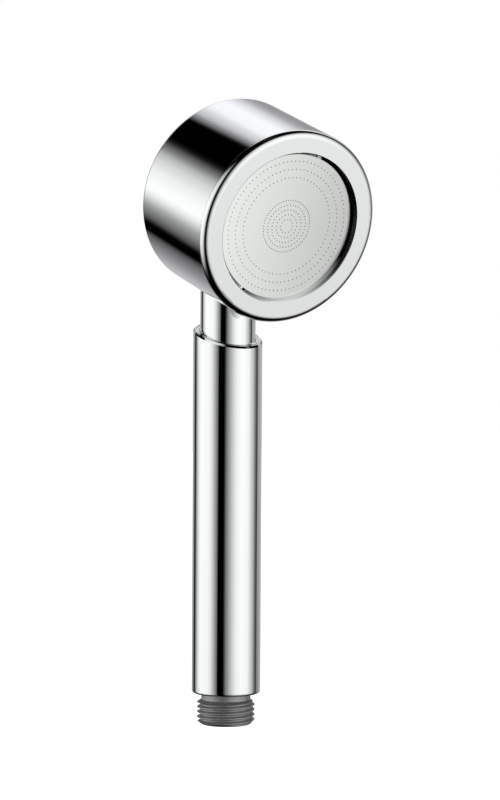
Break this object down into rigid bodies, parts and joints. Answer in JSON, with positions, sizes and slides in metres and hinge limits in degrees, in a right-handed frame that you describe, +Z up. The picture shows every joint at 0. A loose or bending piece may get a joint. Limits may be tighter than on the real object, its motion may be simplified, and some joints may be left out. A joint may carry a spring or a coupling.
{
  "type": "handheld shower head",
  "caption": "Handheld shower head: short drum with a recessed perforated plate in a screw-in ring, on a straight tube grip with an oblique collar and a threaded inlet.",
  "frame": {"origin": "centre of the inlet's end face, where the hose washer seats", "axes": "+Z up along the grip; the spray face looks towards -Y and down; symmetric about X = 0"},
  "size_m": [0.07, 0.0634, 0.2257],
  "materials": {
    "chrome": "mirror-polished chrome plate",
    "stainless_plate": "satin stainless sheet",
    "satin_nickel": "dark satin nickel plate",
    "seal_rubber": "black EPDM",
    "silicone": "pale grey silicone",
    "inner_plastic": "off-white moulded ABS",
    "pipe_plastic": "natural polyethylene",
    "valve_plastic": "blue acetal",
    "white_acetal": "white acetal",
    "brass": "turned brass",
    "steel": "bright stainless steel"
  },
  "bodies": {
    "handset": {"drum_shell": "chrome", "neck_tube": "chrome", "grip_sleeve": "chrome", "plate_support": "inner_plastic", "water_chamber": "inner_plastic", "chamber_seal": "seal_rubber", "chamber_lock_ring": "brass", "flow_baffle": "inner_plastic", "inlet_elbow": "inner_plastic", "elbow_seal": "seal_rubber", "elbow_screws": "steel", "water_pipe": "pipe_plastic", "pipe_seals": "seal_rubber", "pipe_spacer_lower": "inner_plastic", "pipe_spacer_upper": "inner_plastic", "neck_lock_nut": "brass", "neck_washer": "steel", "inlet_connector": "satin_nickel", "connector_seal": "seal_rubber", "filter_screen": "steel", "flow_regulator": "white_acetal", "regulator_seal": "seal_rubber", "valve_body": "valve_plastic", "valve_body_seal": "seal_rubber", "valve_guide": "white_acetal", "valve_spring": "steel"},
    "face_insert": {"spray_plate": "stainless_plate", "plate_gasket": "silicone"},
    "face_ring": {"face_ring": "chrome"},
    "poppet": {"valve_poppet": "white_acetal", "valve_seal": "seal_rubber"}
  },
  "joints": [
    {"name": "face_lift", "type": "slide", "parent": "handset", "child": "face_insert", "axis": [0, -0.9563, -0.2924], "range_m": [0, 0.0045]},
    {"name": "face_turn", "type": "hinge", "parent": "face_insert", "child": "face_ring", "pos_m": [0, -0.04122, 0.1797], "axis": [0, -0.9563, -0.2924], "range_deg": [0, 1080]},
    {"name": "valve_lift", "type": "slide", "parent": "handset", "child": "poppet", "axis": [0, 0, 1], "range_m": [0, 0.0025], "stiffness_N_per_m": 80, "springref_m": -0.003, "deforming": ["valve_spring"]}
  ],
  "couplings": [
    {"joint": "face_lift", "follows": "face_turn", "m_per_rad": 0.00023873}
  ]
}
